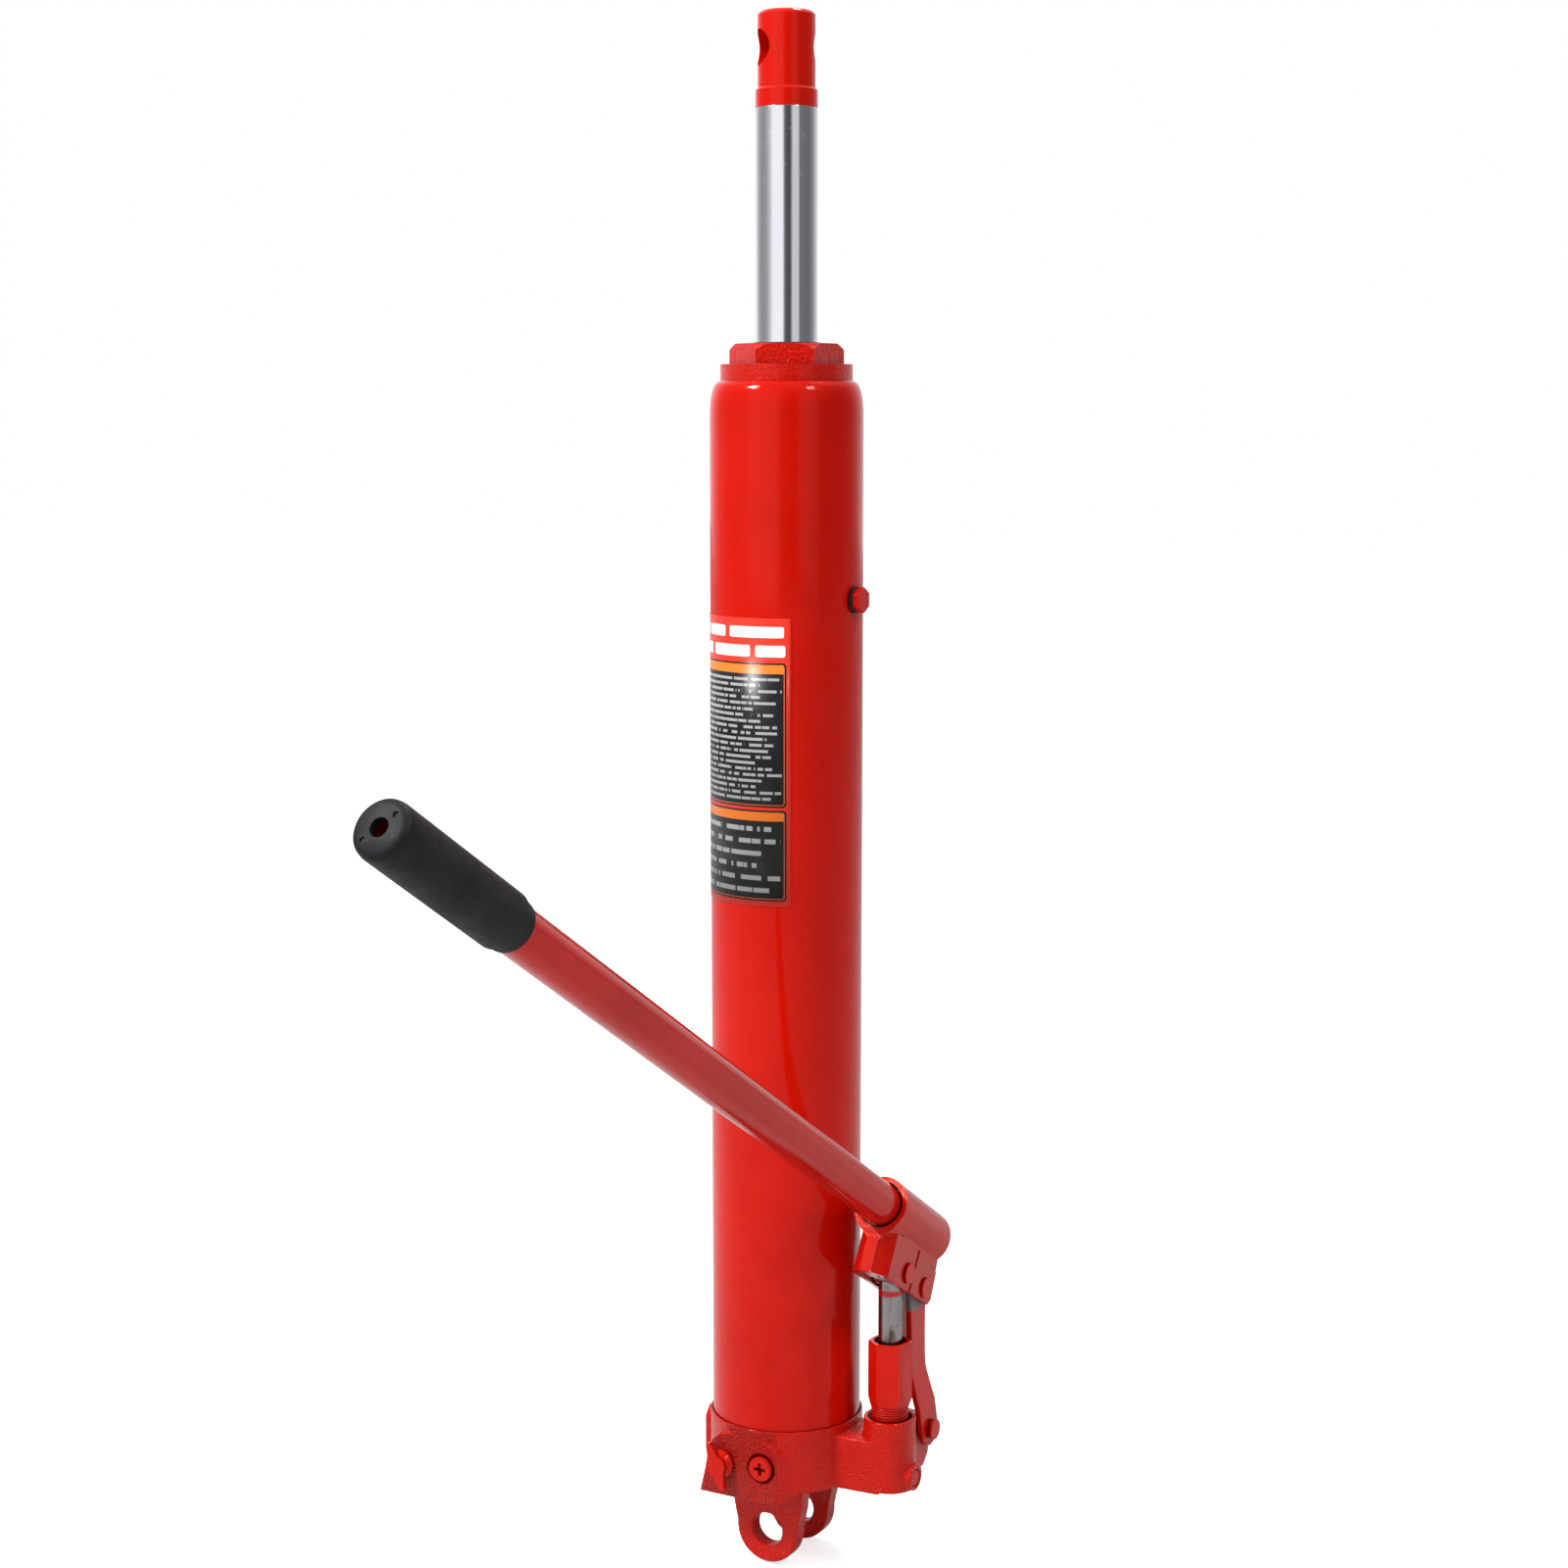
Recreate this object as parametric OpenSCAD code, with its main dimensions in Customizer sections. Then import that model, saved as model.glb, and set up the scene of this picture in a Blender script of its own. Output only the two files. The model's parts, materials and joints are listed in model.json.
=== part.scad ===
// Long-ram hydraulic jack: single-piston hand pump, round reservoir, clevis base.
// Units are millimetres. Origin: middle of the base clevis pin hole.
// +Z runs up the ram, +X points from the ram to the pump, -Y is the operator side
// (release valve, handle). The clevis pin lies along Y, the linkage pins along X.

/* [Reservoir] */
// outside diameter of the oil reservoir tube
tank_od = 70; // [60:0.5:90]
// wall of the reservoir tube
tank_wall = 3; // [2:0.25:5]
// height where the rounded shoulder of the reservoir ends
tank_top = 538.4; // [400:0.1:700]
// height of the top face of the base casting under the reservoir
cast_top = 55.25; // [50:0.25:70]

/* [Clevis base] */
// bore for the base clevis pin
clevis_hole = 16; // [12:0.5:20]
// thickness of each clevis ear
ear_t = 8; // [6:0.5:12]
// clear gap between the clevis ears
ear_gap = 23; // [18:0.5:30]
// radius of the rounded end of the ears
ear_r = 16; // [13:0.5:20]

/* [Ram] */
// diameter of the chromed ram
ram_d = 28; // [22:0.5:34]
// bore of the pressure cylinder
bore_d = 42; // [38:0.5:46]
// height of the cross hole in the ram end, as assembled
eye_z = 685; // [620:0.5:760]
// cross hole in the ram end
eye_hole = 16; // [12:0.5:18]
// direction of the cross hole, degrees from -Y toward -X
eye_turn = 45; // [0:1:180]

/* [Pump] */
// distance from the ram axis to the pump axis
pump_x = 55; // [50:0.5:65]
// diameter of the pump plunger
plunger_d = 11.3; // [9:0.1:13]
// width across the flats of the pump cylinder
pump_af = 18; // [16:0.5:21]
// height of the top rim of the pump cylinder
pump_top = 96.5; // [90:0.5:102]

/* [Linkage] */
// height of the plunger pin, as assembled
piston_pin_z = 130.1; // [125:0.1:140]
// height of the upper link pin
link_pin_z = 118.4; // [110:0.1:125]
// distance of the upper link pin behind the plunger
link_pin_y = 16.9; // [14:0.1:20]
// height of the lower link pin
base_pin_z = 46.7; // [42:0.1:50]
// distance of the lower link pin behind the plunger
base_pin_y = 25.2; // [22:0.1:28]
// width of the link straps
strap_w = 16.5; // [14:0.5:18]

/* [Handle] */
// angle of the handle above the horizontal, as assembled
handle_tilt = 31.4; // [20:0.1:40]
// height at which the handle axis crosses the pump axis
handle_z = 158.1; // [150:0.1:170]
// outside diameter of the handle tube
handle_d = 19.6; // [16:0.1:24]
// distance of the grip end from the pump axis, along the handle
handle_reach = 445; // [300:0.5:600]
// outside diameter of the rubber grip
grip_d = 23.4; // [21:0.1:30]
// length of the rubber grip
grip_len = 82.5; // [70:0.5:130]

/* [Hidden] */

$fn = 96;
tank_r = tank_od / 2;
tank_ri = tank_r - tank_wall;
cast_r = tank_r + 1.2;
cast_bottom = 25;
ear_in = ear_gap / 2;
ear_out = ear_in + ear_t;
ram_r = ram_d / 2;
bore_r = bore_d / 2;
cyl_r = bore_r + 4;
cyl_floor = 40;
cyl_top = tank_top - 2.4;
run = 0.05;
plunger_r = plunger_d / 2;
pump_seat = 38;
valve_x = -15.3;
valve_z = 36;
plug_x = 6;
plug_z = 37;
face_y = -36;
filler_z = 440.5;
piston_z = 162.8;
hr = handle_d / 2;
socket_r = 13.15;
plate_in = 6.5;
plate_out = 9;
pin_head_r = 4.85;
red = [0.80, 0.12, 0.08];
steel = [0.62, 0.62, 0.64];
chrome = [0.85, 0.86, 0.88];
rubber = [0.16, 0.16, 0.17];
brass = [0.75, 0.58, 0.28];

// ---------------------------------------------------------------- helpers

// cylinder lying along Y, from y0 to y1
module ybar(x, z, r, y0, y1) {
  translate([x, y1, z])
    rotate([90, 0, 0])
      cylinder(h = y1 - y0, r = r);
}

// cylinder lying along X, from x0 to x1
module xbar(y, z, r, x0, x1) {
  translate([x0, y, z])
    rotate([0, 90, 0])
      cylinder(h = x1 - x0, r = r);
}

// plain ring about Z
module ring(ro, ri, z0, z1) {
  translate([0, 0, z0])
    difference() {
      cylinder(h = z1 - z0, r = ro);
      translate([0, 0, -1])
        cylinder(h = z1 - z0 + 2, r = ri);
    }
}

// a flat outline given as [x, z] points, from y0 to y1
module yplate(y0, y1) {
  translate([0, y1, 0])
    rotate([90, 0, 0])
      linear_extrude(height = y1 - y0)
        children();
}

// a flat outline given as [y, z] points, from x0 to x1
module xplate(x0, x1) {
  translate([x0, 0, 0])
    rotate([90, 0, 90])
      linear_extrude(height = x1 - x0)
        children();
}

// places handle-frame pieces: local +Y runs back along the handle, local +Z is its upper side
module on_handle() {
  translate([pump_x, 0, handle_z])
    rotate([-handle_tilt, 0, 0])
      children();
}

// wire coil about Z, from z = 0 up
function coil_pt(r, pitch, t) = [r * cos(t), r * sin(t), pitch * t / 360];
function coil_ring(r, w, pitch, t, n) =
  [for (k = [0 : n - 1])
    let (a = 360 * k / n)
    coil_pt(r, pitch, t) + w * cos(a) * [cos(t), sin(t), 0] + w * sin(a) * [0, 0, 1]];
module coil(r, w, pitch, turns) {
  steps = 16;
  n = 8;
  total = round(turns * steps);
  pts = [for (i = [0 : total]) each coil_ring(r, w, pitch, 360 * i / steps, n)];
  sides = [for (i = [0 : total - 1], k = [0 : n - 1])
    [i * n + k, i * n + (k + 1) % n, (i + 1) * n + (k + 1) % n, (i + 1) * n + k]];
  caps = [[for (k = [n - 1 : -1 : 0]) k], [for (k = [0 : n - 1]) total * n + k]];
  polyhedron(points = pts, faces = concat(sides, caps), convexity = 8);
}

// ---------------------------------------------------------------- base

// outline of one clevis ear, x and z
module ear_outline() {
  circle(r = ear_r);
  polygon([[-ear_r + 0.12, 1], [ear_r - 0.12, 1], [ear_r + 2.4, 13], [ear_r + 3, 20], [ear_r + 3, cast_bottom + 3],
    [-ear_r - 3, cast_bottom + 3], [-ear_r - 3, 20], [-ear_r - 2.4, 13]]);
}

module clevis_ears() {
  yplate(-ear_out, -ear_in) ear_outline();
  yplate(ear_in, ear_out) ear_outline();
}

// boss with the flat face that carries the release valve and the relief plug
module valve_boss() {
  intersection() {
    translate([0, 0, 20])
      linear_extrude(height = 31)
        polygon([[-27.2, face_y], [14, face_y], [21.5, -28.5], [21.5, -13], [-27.2, -13]]);
    yplate(face_y - 1, 1)
      polygon([[-27.2, 20], [14, 20], [22, 25], [22, 38], [17, 44], [12, 48.2], [5, 51], [-12, 51],
        [-17, 49.8], [-20.4, 46.5], [-22.2, 41]]);
  }
}

module pump_boss() {
  translate([pump_x, 0, 26])
    cylinder(h = 34, r = 12.3);
  // web to the round body
  translate([0, 0, cast_bottom])
    linear_extrude(height = 25.5)
      polygon([[28, -13.6], [33.6, -13.4], [pump_x, -12.1], [pump_x, 12.1], [33.6, 13.4], [28, 13.6]]);
  // round pad for the passage plug
  xbar(0, 32.5, 6.4, pump_x + 3, pump_x + 14);
}

// lug that carries the lower link pin
module link_lug() {
  xplate(pump_x - 5.8, pump_x + 5.8)
    union() {
      translate([base_pin_y, base_pin_z]) circle(r = 7.4);
      polygon([[10, 28], [25, 28], [30, 33], [base_pin_y + 7.2, base_pin_z], [base_pin_y, base_pin_z + 7.2],
        [16, 56], [10, 57]]);
    }
}

// flat pad on the side away from the pump
module side_pad() {
  xplate(-38.2, -25)
    polygon([[-9, 27], [9, 27], [12, 30], [12, 47], [8, 51.5], [-8, 51.5], [-12, 47], [-12, 30]]);
}

module base_passages() {
  // pressure: plug pad -> under the pump -> floor of the pressure cylinder
  xbar(0, 32, 1.75, 9, pump_x + 10);
  xbar(0, 32, 2.6, 27, 37);
  xbar(0, 32, 4, pump_x + 8, pump_x + 15);
  translate([10, 0, 32]) cylinder(h = 10, r = 1.75);
  translate([pump_x, 0, 32]) cylinder(h = 8, r = 3);
  translate([pump_x, 0, 34.5]) cylinder(h = 5, r = 5.9);
  // suction: reservoir floor -> pump chamber
  translate([28.2, 5, 34.5]) cylinder(h = 25, r = 1.75);
  xbar(5, 36, 1.4, 28.2, pump_x - 2);
  xbar(5, 36, 2.6, 39, 46);
  // release valve: pressure side to the reservoir
  ybar(valve_x, valve_z, 1.4, -14, 0);
  xbar(0, valve_z, 1.4, valve_x, -8);
  translate([-9, 0, valve_z - 1.4]) cylinder(h = 10, r = 1.4);
  translate([valve_x, -23, valve_z]) cylinder(h = 25, r = 1.6);
  // relief valve: pressure side to the reservoir
  ybar(plug_x, plug_z, 1.3, -16, -5);
  translate([plug_x, -6, plug_z - 1.3]) cylinder(h = 8, r = 1.3);
  translate([plug_x, -26.7, plug_z]) cylinder(h = 25, r = 1.3);
}

module base_casting() {
  color(red)
    difference() {
      union() {
        translate([0, 0, cast_bottom])
          cylinder(h = cast_top - cast_bottom, r = cast_r);
        clevis_ears();
        valve_boss();
        pump_boss();
        link_lug();
        side_pad();
      }
      // clevis pin
      ybar(0, 0, clevis_hole / 2, -30, 30);
      // seat of the pressure cylinder and of the reservoir tube
      translate([0, 0, cyl_floor])
        cylinder(h = 30, r = cyl_r - 1);
      ring(tank_r, tank_ri, 49, 70);
      // pump cylinder thread and chamber
      translate([pump_x, 0, pump_seat])
        cylinder(h = 40, r = 8.8);
      translate([pump_x, 0, 60 - 1.6])
        cylinder(h = 10, r = 10.2);
      // release valve
      ybar(valve_x, valve_z, 5.05, face_y - 5, -20);
      ybar(valve_x, valve_z, 3.3, -20.5, -14);
      // relief plug
      ybar(plug_x, plug_z, 7, face_y - 5, face_y + 1.6);
      ybar(plug_x, plug_z, 5, face_y - 5, -22);
      ybar(plug_x, plug_z, 2.8, -22.5, -16);
      // lower link pin
      xbar(base_pin_y, base_pin_z, 4, pump_x - 10, pump_x + 10);
      base_passages();
    }
}

// ---------------------------------------------------------------- reservoir and cylinder

// rounded shoulder from radius r, starting at height z and rising by h while closing in by 4
function shoulder(r, z, h) =
  [for (k = [0 : 8]) let (a = 90 * k / 8) [r - 4 + 4 * cos(a), z + h * sin(a)]];
module reservoir_tube() {
  color(red)
    difference() {
      union() {
        rotate_extrude()
          polygon(concat([[tank_ri, 50.5], [tank_r, 50.5]], shoulder(tank_r, tank_top - 14.9, 14.4),
            [[tank_r - 4.6, tank_top], [tank_ri - 4, tank_top]],
            [for (p = [8 : -1 : 0]) shoulder(tank_ri, tank_top - 14.9, 11.4)[p]]));
        // threaded bush of the filler hole, inside the tube
        intersection() {
          xbar(0, filler_z, 8, 28.5, tank_r);
          translate([0, 0, filler_z - 10])
            cylinder(h = 20, r = tank_ri + 1);
        }
      }
      xbar(0, filler_z, 4, 20, 50);
    }
}

module pressure_cylinder() {
  color(steel)
    difference() {
      union() {
        translate([0, 0, cast_top])
          cylinder(h = cyl_top - cast_top, r = cyl_r);
        translate([0, 0, cyl_floor])
          cylinder(h = 30, r = cyl_r - 1);
      }
      translate([0, 0, cyl_floor - 1])
        cylinder(h = cyl_top, r = bore_r);
      translate([0, 0, cyl_top - 14])
        cylinder(h = 20, r = bore_r + 1.5);
      // bleed hole that ends the lift
      xbar(0, cyl_top - 22, 1.5, 10, 40);
    }
}

module top_nut() {
  color(red)
    difference() {
      union() {
        translate([0, 0, tank_top])
          cylinder(h = 7.4, r = 30);
        intersection() {
          translate([0, 0, tank_top + 7])
            rotate([0, 0, 26.3 - 90 + 30])
              cylinder(h = 9.6, r = 45 / sqrt(3), $fn = 6);
          translate([0, 0, tank_top + 7])
            cylinder(h = 9.6, r1 = 32, r2 = 23.4);
        }
        translate([0, 0, cyl_top - 11])
          cylinder(h = 20, r = bore_r + 1.45);
      }
      translate([0, 0, cyl_top - 20])
        cylinder(h = 60, r = ram_r + run);
      ring(30.5 - 0.7, 28.2, tank_top - 1, tank_top + 1.4);
      translate([0, 0, tank_top + 11.6])
        cylinder(h = 10, r = 18);
      translate([0, 0, cyl_top - 4])
        cylinder(h = 5, r = 17.4);
    }
}

// scraper ring pressed in the top of the nut
module rod_wiper() {
  color(rubber)
    difference() {
      union() {
        ring(18, ram_r + run, tank_top + 11.6, tank_top + 16.4);
        translate([0, 0, tank_top + 16.3])
          cylinder(h = 0.9, r1 = 15.6, r2 = 15);
      }
      translate([0, 0, tank_top])
        cylinder(h = 30, r = ram_r + run);
    }
}

module rod_seal() {
  color(rubber)
    ring(17.4, ram_r + run, cyl_top - 4, cyl_top + 1);
}

module tank_seal_lower() {
  color(rubber)
    ring(tank_r - 0.1, tank_ri + 0.1, 49, 50.5);
}

module tank_seal_upper() {
  color(rubber)
    ring(29.7, 28.3, tank_top, tank_top + 1.4);
}

// printed wrap-round sticker on the front of the reservoir
module label() {
  color([0.85, 0.25, 0.10])
    translate([0, 0, 302.7])
      rotate([0, 0, -181])
        rotate_extrude(angle = 123)
          translate([tank_r, 0])
            square([0.2, 130.7]);
}

module filler_plug() {
  color(red)
    union() {
      xbar(0, filler_z, 3.95, 27.5, tank_r + 2);
      translate([tank_r + 1.4, 0, filler_z])
        rotate([0, 90, 0])
          cylinder(h = 3.6, r = 6, $fn = 6);
    }
}

module filler_seal() {
  color(rubber)
    difference() {
      xbar(0, filler_z, 6.2, tank_r + 0.3, tank_r + 1.4);
      xbar(0, filler_z, 4, tank_r - 1, tank_r + 3);
    }
}

// ---------------------------------------------------------------- ram

module ram_rod() {
  color(chrome)
    union() {
      translate([0, 0, piston_z + 9])
        cylinder(h = 659 - piston_z - 9, r = ram_r);
      translate([0, 0, piston_z - 18.3])
        cylinder(h = 30, r = 9);
    }
}

// painted end of the ram with the cross hole
module ram_eye() {
  color(red)
    difference() {
      union() {
        translate([0, 0, 659]) cylinder(h = 7.5, r = ram_r);
        translate([0, 0, 666.5]) cylinder(h = 1.2, r1 = ram_r, r2 = ram_r - 1);
        translate([0, 0, 667.7]) cylinder(h = 31.6, r = ram_r - 1);
        translate([0, 0, 699.3]) cylinder(h = 1.2, r1 = ram_r - 1, r2 = ram_r - 2);
        translate([0, 0, 700.5]) cylinder(h = 0.6, r1 = ram_r - 2, r2 = ram_r - 3.4);
      }
      rotate([0, 0, -eye_turn])
        ybar(0, eye_z, eye_hole / 2, -20, 20);
    }
}

module ram_piston() {
  color(steel)
    ring(bore_r - run, 9, piston_z, piston_z + 9);
}

// lipped seal under the piston
module piston_cup() {
  color(rubber)
    difference() {
      ring(bore_r - run, 9 + run, piston_z - 10, piston_z - 2.3);
      translate([0, 0, piston_z - 11])
        rotate_extrude()
          polygon([[14, 0], [18, 0], [16.4, 4.6], [15.6, 4.6]]);
    }
}

module piston_backup() {
  color([0.85, 0.83, 0.78])
    ring(bore_r - 0.1, 9 + run, piston_z - 2.3, piston_z - 0.3);
}

module piston_washer() {
  color(steel)
    ring(14, 9, piston_z - 11.8, piston_z - 10.3);
}

module piston_nut() {
  color(steel)
    translate([0, 0, piston_z - 18.3])
      difference() {
        cylinder(h = 6.5, r = 27 / sqrt(3), $fn = 6);
        translate([0, 0, -1])
          cylinder(h = 10, r = 9);
      }
}

// ---------------------------------------------------------------- pump

module pump_cylinder() {
  color(red)
    translate([pump_x, 0, 0])
      difference() {
        union() {
          intersection() {
            translate([0, 0, 65])
              rotate([0, 0, 18.7 - 90 + 30])
                cylinder(h = pump_top - 65, r = pump_af / sqrt(3), $fn = 6);
            union() {
              translate([0, 0, 65]) cylinder(h = 5, r1 = 8.9, r2 = 10.6);
              translate([0, 0, 70]) cylinder(h = pump_top - 71, r = 10.6);
              translate([0, 0, pump_top - 1]) cylinder(h = 1, r1 = 10.6, r2 = 9.2);
            }
          }
          translate([0, 0, pump_seat + 1.2])
            cylinder(h = 27.3, r = 8.75);
        }
        cylinder(h = 200, r = plunger_r + run);
        translate([0, 0, pump_top - 5])
          cylinder(h = 10, r = 7.6);
      }
}

module pump_gasket() {
  color(brass)
    translate([pump_x, 0, 0])
      ring(8.7, 5.9, pump_seat, pump_seat + 1.2);
}

module plunger_wiper() {
  color(rubber)
    translate([pump_x, 0, 0])
      ring(7.6, plunger_r + run, pump_top - 5, pump_top - 1.8);
}

// plunger with a seal groove and an eye whose cross slot leaves room for the pin
module pump_plunger() {
  color(steel)
    difference() {
      union() {
        translate([pump_x, 0, 62])
          cylinder(h = piston_pin_z - 62, r = plunger_r);
        xbar(0, piston_pin_z, 6.8, pump_x - 5.6, pump_x + 5.6);
      }
      translate([pump_x, 0, 0])
        ring(8, 4.2, 65, 68);
      xbar(-0.75, piston_pin_z, 4.15, pump_x - 10, pump_x + 10);
      xbar(0.75, piston_pin_z, 4.15, pump_x - 10, pump_x + 10);
      translate([pump_x - 10, -0.75, piston_pin_z - 4.15])
        cube([20, 1.5, 8.3]);
    }
}

module plunger_seal() {
  color(rubber)
    translate([pump_x, 0, 0])
      ring(plunger_r, 4.2, 65, 68);
}

// ---------------------------------------------------------------- linkage

// middle line of a link strap, y and z
function strap_mid() = [[link_pin_y, link_pin_z], [link_pin_y - 0.2, 96], [link_pin_y, 84],
  [link_pin_y + 1.3, 74], [link_pin_y + 3.6, 64], [link_pin_y + 6.2, 54.5], [base_pin_y, base_pin_z]];
function dirs(m) = [for (i = [0 : len(m) - 1])
  let (a = m[max(0, i - 1)], b = m[min(len(m) - 1, i + 1)])
  (b - a) / norm(b - a)];
function side(m, w) = let (d = dirs(m)) [for (i = [0 : len(m) - 1]) m[i] + w[i] * [-d[i][1], d[i][0]]];
// the front edge is relieved where it passes the pump cylinder
strap_relief = [0, 1.6, 1.6, 0.8, 0, 0, 0];
module strap_outline() {
  w = strap_w / 2 - 0.06;
  m = strap_mid();
  a = side(m, [for (r = strap_relief) w]);
  b = side(m, [for (r = strap_relief) r - w]);
  polygon(concat(a, [for (i = [len(m) - 1 : -1 : 0]) b[i]]));
}

// strap bent outward to pass the lug; x measured from the middle plane
module strap() {
  difference() {
    intersection() {
      union() {
        xplate(0, 12) strap_outline();
        xbar(link_pin_y, link_pin_z, strap_w / 2, 0, 12);
        xbar(base_pin_y, base_pin_z, strap_w / 2, 0, 12);
      }
      translate([0, 60, 0])
        rotate([90, 0, 0])
          linear_extrude(height = 90)
            polygon([[3.2, 140], [3.2, 77], [6.2, 60], [6.2, 30], [9.2, 30], [9.2, 60.6], [6.2, 77.6],
              [6.2, 140]]);
    }
    xbar(link_pin_y, link_pin_z, 4 + run, -1, 20);
    xbar(base_pin_y, base_pin_z, 4 + run, -1, 20);
  }
}

module link_strap_outer() {
  color(red)
    translate([pump_x, 0, 0])
      strap();
}

module link_strap_inner() {
  color(red)
    translate([pump_x, 0, 0])
      mirror([1, 0, 0])
        strap();
}

// headed pin along X about the middle plane; half = half length under the heads
module headed_pin(y, z, r, half, head) {
  xbar(y, z, r, -half - head, half + head);
  xbar(y, z, pin_head_r, half, half + head);
  xbar(y, z, pin_head_r, -half - head, -half);
}

module base_pin() {
  color(red)
    translate([pump_x, 0, 0])
      headed_pin(base_pin_y, base_pin_z, 4, 10.2, 1.7);
}

module piston_pin() {
  color(red)
    translate([pump_x, 0, 0])
      headed_pin(0, piston_pin_z, 3.5, 9.3, 1.2);
}

module link_pin() {
  color(red)
    translate([pump_x, 0, 0])
      headed_pin(link_pin_y, link_pin_z, 4, 9.6, 1.2);
}

// socket section in front: sheet drawn together under the ring, flaring apart below
module front_section() {
  difference() {
    union() {
      circle(r = socket_r);
      polygon([[-12.3, -4.6], [12.3, -4.6], [9.2, -10.4], [5.4, -14], [3.2, -17], [3.4, -31.5],
        [-1.9, -31.5], [-1.6, -17], [-5, -13.8], [-9.2, -10.4]]);
    }
    circle(r = hr + 0.1);
    polygon([[-8.2, -7.4], [8.2, -7.4], [1.6, -15], [-0.2, -15]]);
  }
}

// plan of one flank, from the closed front edge to the corner of its side plate
module flank() {
  polygon([[0, -12.5], [2.6, -12.5], [8.3, -6.6], [plate_out, -5.4], [plate_out, 3], [plate_in, 3],
    [plate_in, -4.6], [1.6, -9.9], [0, -9.9]]);
}

// pressed panel on the back part of the side plates
module plate_panel() {
  polygon([[20.2, -31.4], [42.3, -31.4], [44.6, -28.5], [43.5, -15.4], [24.4, -14], [20.8, -11]]);
}

// side plate outline along the handle: y back, z up
module plate_outline() {
  polygon([[0.4, -31.5], [42.5, -31.5], [45, -28.6], [43.6, -14], [42.5, -5], [0.4, -5]]);
}

module handle_socket() {
  color(red)
    difference() {
      on_handle()
        difference() {
          union() {
            // rolled collar round the handle tube
            translate([0, 42.5, 0])
              rotate([90, 0, 0])
                cylinder(h = 55, r = socket_r);
            // front: both flanks drawn together under the tube
            translate([0, -2, 0])
              rotate([90, 0, 0])
                linear_extrude(height = 10.5)
                  front_section();
            // flanks from the closed front edge to the open side plates
            translate([0, 0, -31.5])
              linear_extrude(height = 21) {
                flank();
                mirror([1, 0, 0])
                  flank();
              }
            // side plates
            xplate(plate_in, plate_out) plate_outline();
            xplate(-plate_out, -plate_in) plate_outline();
            xplate(plate_in + 1, plate_out + 0.5) plate_panel();
            xplate(-plate_out - 0.5, -plate_in - 1) plate_panel();
          }
          translate([0, 60, 0])
            rotate([90, 0, 0])
              cylinder(h = 90, r = hr + 0.1);
          translate([0, -7, 0])
            rotate([90, 0, 0])
              cylinder(h = 10, r = hr + 1.1);
        }
      translate([pump_x, 0, 0]) {
        xbar(0, piston_pin_z, 3.5, -20, 20);
        xbar(link_pin_y, link_pin_z, 4, -20, 20);
      }
    }
}

// ---------------------------------------------------------------- handle

module handle_tube() {
  color(red)
    on_handle()
      difference() {
        translate([0, 38, 0])
          rotate([90, 0, 0])
            cylinder(h = handle_reach - 3.5 + 38, r = hr);
        translate([0, 60, 0])
          rotate([90, 0, 0])
            cylinder(h = handle_reach + 100, r = hr - 1.8);
      }
}

module handle_grip() {
  gr = grip_d / 2;
  color(rubber)
    on_handle()
      rotate([90, 0, 0])
        difference() {
          rotate_extrude()
            polygon([[0, handle_reach], [gr - 3.2, handle_reach], [gr - 1.5, handle_reach - 0.7],
              [gr - 0.4, handle_reach - 2], [gr, handle_reach - 4], [gr, handle_reach - grip_len + 1],
              [gr - 0.4, handle_reach - grip_len + 0.3], [gr - 1.1, handle_reach - grip_len],
              [gr - 1.1, handle_reach - grip_len - 5], [0, handle_reach - grip_len - 5]]);
          translate([0, 0, handle_reach - grip_len - 10])
            cylinder(h = grip_len + 10 - 3.5, r = hr);
          translate([0, 0, handle_reach - 6])
            cylinder(h = 10, r = 3.6);
          for (s = [-1, 1])
            translate([s * 5, s * 5, handle_reach - 0.7])
              cylinder(h = 2, r = 1.1);
        }
}

// ---------------------------------------------------------------- valves in the base

// screw with a flat key on a round collar
module release_valve() {
  color(red)
    union() {
      ybar(valve_x, valve_z, 5, face_y - 1, -25.4);
      ybar(valve_x, valve_z, 3, -26, -18.75);
      ybar(valve_x, valve_z, 7, face_y - 2, face_y - 0.4);
      translate([valve_x, face_y - 2, valve_z])
        rotate([90, 0, 0])
          cylinder(h = 2, r1 = 7, r2 = 5.6);
      yplate(face_y - 6, face_y - 3)
        translate([valve_x, valve_z])
          rotate(20)
            union() {
              circle(r = 5);
              polygon([[-3, 3.4], [3, 3.4], [1.1, 11.4], [-1.1, 11.4]]);
              polygon([[-3, -3.4], [3, -3.4], [1.1, -11.4], [-1.1, -11.4]]);
            }
    }
}

module release_ball() {
  color(steel)
    translate([valve_x, -16.15, valve_z])
      sphere(r = 2.3);
}

// cross-recessed plug that closes the relief valve
module relief_plug() {
  color(red)
    difference() {
      union() {
        ybar(plug_x, plug_z, 5.9, face_y - 0.8, face_y + 1.6);
        ybar(plug_x, plug_z, 5.3, face_y - 1.3, face_y - 0.8);
        ybar(plug_x, plug_z, 4.95, face_y + 1.5, -28.2);
      }
      translate([plug_x - 3, face_y - 3, plug_z - 0.8])
        cube([6, 4, 1.6]);
      translate([plug_x - 0.8, face_y - 3, plug_z - 3])
        cube([1.6, 4, 6]);
      translate([plug_x, face_y + 1, plug_z])
        rotate([90, 45, 0])
          translate([-1.25, -1.25, 0])
            cube([2.5, 2.5, 4]);
    }
}

module relief_spring() {
  color(steel)
    translate([plug_x, -20.6, plug_z])
      rotate([90, 0, 0])
        coil(1.9, 0.35, 1.2, 5.8);
}

module relief_ball() {
  color(steel)
    translate([plug_x, -17.8, plug_z])
      sphere(r = 2.2);
}

module suction_ball() {
  color(steel)
    translate([40.85, 5, 36])
      sphere(r = 2.3);
}

module outlet_ball() {
  color(steel)
    translate([35.45, 0, 32])
      sphere(r = 2.3);
}

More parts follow.
